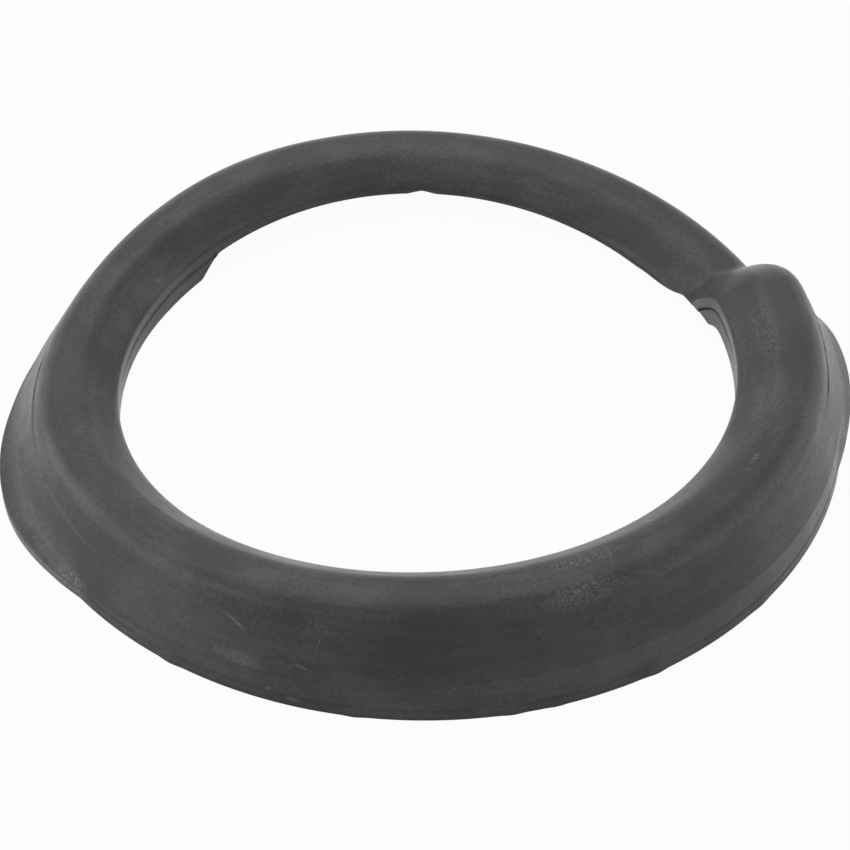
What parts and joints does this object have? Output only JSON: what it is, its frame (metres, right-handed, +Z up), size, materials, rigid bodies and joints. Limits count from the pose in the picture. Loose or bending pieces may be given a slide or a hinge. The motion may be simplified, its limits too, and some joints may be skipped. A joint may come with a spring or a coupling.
{
  "type": "coil spring insulator",
  "caption": "Moulded rubber ring that hoods the end turn of a coil spring: a stepped, falling crown over a coil channel open below, with a lobed lip.",
  "frame": {"origin": "middle of the bounding box on the base plane, about 2 mm from the coil's axis", "axes": "+Z up along the coil's axis, from the open base towards the crown; +X towards the side with the step; +Y towards the side with the low end of the crown"},
  "size_m": [0.1628, 0.1596, 0.0194],
  "materials": {
    "rubber": "matte"
  },
  "bodies": {
    "root": {"spring_insulator": "rubber"}
  },
  "joints": []
}
